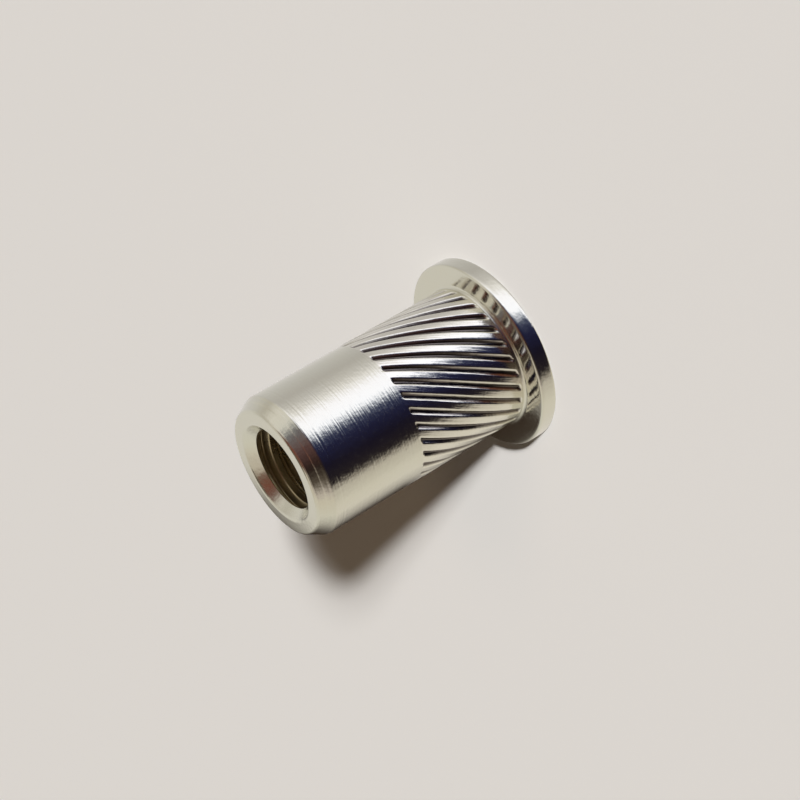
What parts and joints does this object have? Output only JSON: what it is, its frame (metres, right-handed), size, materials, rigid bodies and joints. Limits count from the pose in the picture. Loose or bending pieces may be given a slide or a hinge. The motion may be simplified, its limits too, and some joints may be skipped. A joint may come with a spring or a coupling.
{
  "type": "rivet nut",
  "caption": "Open-ended rivet nut with a flat round flange, a helically knurled body and a smooth chamfered nose with a metric thread inside.",
  "frame": {"origin": "centre of the flange's flat outer face, which is the face it stands on", "axes": "+Z along the nut's axis, from the flange towards the threaded nose; X and Y are free, since the part is round"},
  "size_m": [0.012, 0.012, 0.016],
  "materials": {
    "zinc_plated_steel": "bright zinc plating on turned steel, with fine turning rings on the shank and a rolled knurl"
  },
  "bodies": {
    "root": {"rivet_nut": "zinc_plated_steel"}
  },
  "joints": []
}
